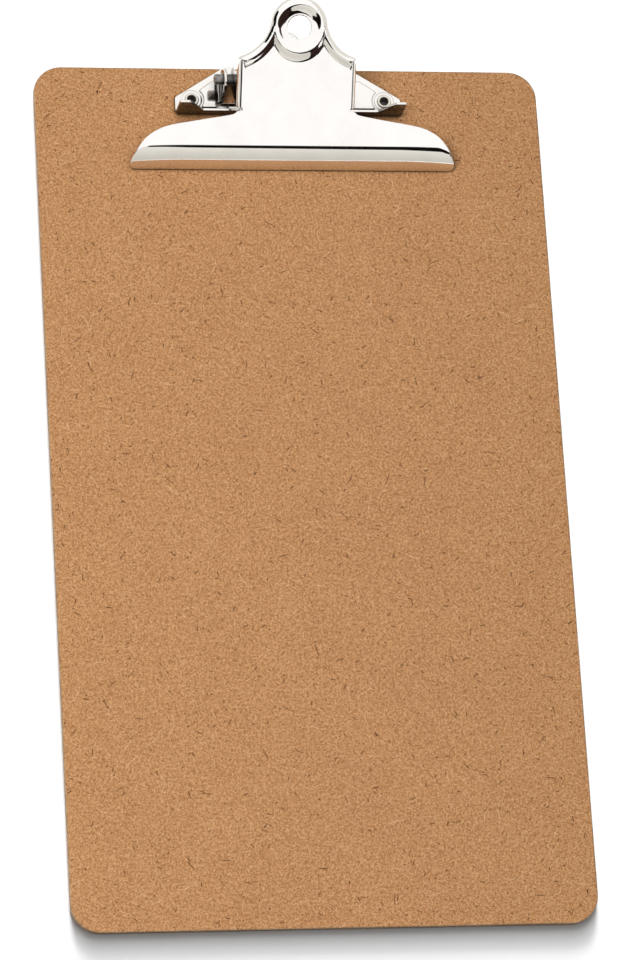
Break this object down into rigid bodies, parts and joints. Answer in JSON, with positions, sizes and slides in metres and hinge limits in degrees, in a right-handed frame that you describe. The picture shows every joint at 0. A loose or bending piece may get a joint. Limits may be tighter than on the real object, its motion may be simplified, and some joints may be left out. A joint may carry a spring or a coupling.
{
  "type": "clipboard",
  "caption": "Legal-size hardboard clipboard with rounded corners and a sprung butterfly lever clip that has a wide jaw, paper stops and a hanging hole.",
  "frame": {"origin": "centre of the board's back face", "axes": "+X across the board, +Y along the board towards the clip, +Z out of the board's front face"},
  "size_m": [0.2286, 0.4121, 0.0481],
  "materials": {
    "hardboard": "smooth pressed fibre with fine flecks",
    "plated_lever": "bright nickel plate",
    "plated_base": "bright nickel plate",
    "rod_steel": "drawn steel",
    "spring_steel": "oiled spring wire",
    "rivet_steel": "plated",
    "washer_steel": "zinc plated"
  },
  "bodies": {
    "board_and_base": {"board": "hardboard", "base_plate": "plated_base", "pivot_rod": "rod_steel", "spring_right": "spring_steel", "spring_left": "spring_steel", "rivet_right": "rivet_steel", "rivet_left": "rivet_steel", "washer_right": "washer_steel", "washer_left": "washer_steel"},
    "clip_lever": {"lever": "plated_lever"}
  },
  "joints": [
    {"name": "lever_pivot", "type": "hinge", "parent": "board_and_base", "child": "clip_lever", "pos_m": [0, 0.187, 0.0147], "axis": [-1, 0, 0], "range_deg": [0, 38], "stiffness_Nm_per_rad": 0.6, "springref_deg": -68.75, "deforming": ["spring_right", "spring_left"]}
  ]
}
